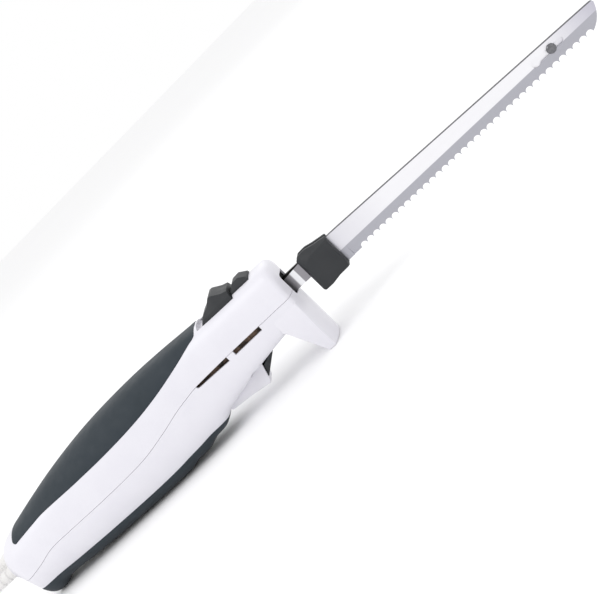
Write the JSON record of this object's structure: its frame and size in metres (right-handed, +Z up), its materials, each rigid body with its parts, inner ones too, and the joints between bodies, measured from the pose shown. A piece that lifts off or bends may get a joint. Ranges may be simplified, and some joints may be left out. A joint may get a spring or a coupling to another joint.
{
  "type": "electric knife",
  "caption": "Mains electric uncapping and carving knife: pistol grip with finger guard, trigger and two serrated blades that slide against each other.",
  "frame": {"origin": "middle of the knife's length and width, on the table that it stands on", "axes": "+X from the cord to the blade tips, +Z up towards the spine, Y across, with Y = 0 between the blades"},
  "size_m": [0.622, 0.1531, 0.0675],
  "materials": {
    "housing": "white moulded plastic, semi-gloss",
    "soft": "dark slate soft-touch rubber",
    "dark": "charcoal moulded plastic",
    "steel": "plain steel",
    "blade": "satin stainless steel",
    "brown": "brown phenolic plastic",
    "nylon": "natural nylon",
    "black": "black plastic",
    "red": "red plastic",
    "can": "zinc-plated steel",
    "magnet": "ferrite",
    "brass": "brass",
    "copper": "enamelled copper",
    "board": "glass-fibre board",
    "cord": "white flexible vinyl"
  },
  "bodies": {
    "housing": {"upper_housing": "housing", "lower_housing": "housing", "upper_grip": "soft", "lower_grip": "soft", "housing_screws": "steel", "trigger_pin": "steel", "trigger_spring": "steel", "micro_switch": "black", "release_spring": "steel", "drive_frame": "brown", "slide_guide": "brown", "wheel_axle": "steel", "motor_can": "can", "motor_end_cap": "black", "motor_magnets": "magnet", "shaft_bushes": "brass", "brushes": "black", "brush_holders": "brass", "circuit_board": "board", "board_parts": "black", "inner_leads": "black", "cord_inner": "cord", "cord_clamp": "housing", "clamp_screws": "steel", "strain_relief": "cord", "cord_lead": "cord", "cord_coil": "cord", "cord_tail": "cord", "coil_tie": "black", "plug_body": "cord", "plug_prongs": "brass"},
    "rotor": {"motor_shaft": "steel", "armature_core": "can", "armature_coils": "copper", "commutator": "copper", "cooling_fan": "nylon", "worm": "brass"},
    "gear": {"worm_wheel": "nylon", "eccentrics": "steel"},
    "left_blade": {"carrier_left": "black", "latch_left": "steel", "blade_left": "blade", "block_left": "dark", "blade_stud": "steel"},
    "right_blade": {"carrier_right": "black", "latch_right": "steel", "blade_right": "blade", "block_right": "dark"},
    "trigger": {"trigger": "dark"},
    "plunger": {"switch_plunger": "red"},
    "lock": {"lock_slide": "dark", "lock_bar": "steel"},
    "release": {"release_button": "dark", "release_fork": "steel"}
  },
  "joints": [
    {"name": "motor_turn", "type": "hinge", "parent": "housing", "child": "rotor", "pos_m": [-0.133, 0, 0.033], "axis": [1, 0, 0], "range_deg": [-1275, 1275]},
    {"name": "wheel_turn", "type": "hinge", "parent": "housing", "child": "gear", "pos_m": [-0.059, 0, 0.0443], "axis": [0, 1, 0], "range_deg": [-75, 75]},
    {"name": "left_stroke", "type": "slide", "parent": "housing", "child": "left_blade", "axis": [1, 0, 0], "range_m": [-0.00314, 0.00314]},
    {"name": "right_stroke", "type": "slide", "parent": "housing", "child": "right_blade", "axis": [1, 0, 0], "range_m": [-0.00314, 0.00314]},
    {"name": "trigger_pull", "type": "hinge", "parent": "housing", "child": "trigger", "pos_m": [-0.019, 0, 0.027], "axis": [0, 1, 0], "range_deg": [0, 7], "stiffness_Nm_per_rad": 0.12, "springref_deg": -5.73, "deforming": ["trigger_spring"]},
    {"name": "plunger_push", "type": "slide", "parent": "housing", "child": "plunger", "axis": [0, 0, 1], "range_m": [0, 0.0022]},
    {"name": "lock_push", "type": "slide", "parent": "housing", "child": "lock", "axis": [1, 0, 0], "range_m": [-0.0032, 0]},
    {"name": "release_press", "type": "slide", "parent": "housing", "child": "release", "axis": [0, 0, -1], "range_m": [0, 0.0025], "stiffness_N_per_m": 400, "springref_m": -0.002, "deforming": ["release_spring"]}
  ],
  "couplings": [
    {"joint": "wheel_turn", "follows": "motor_turn", "ratio": 0.058824},
    {"joint": "left_stroke", "follows": "motor_turn", "m_per_rad": 0.00014118},
    {"joint": "right_stroke", "follows": "motor_turn", "m_per_rad": -0.00014118},
    {"joint": "plunger_push", "follows": "trigger_pull", "m_per_rad": 0.018}
  ]
}
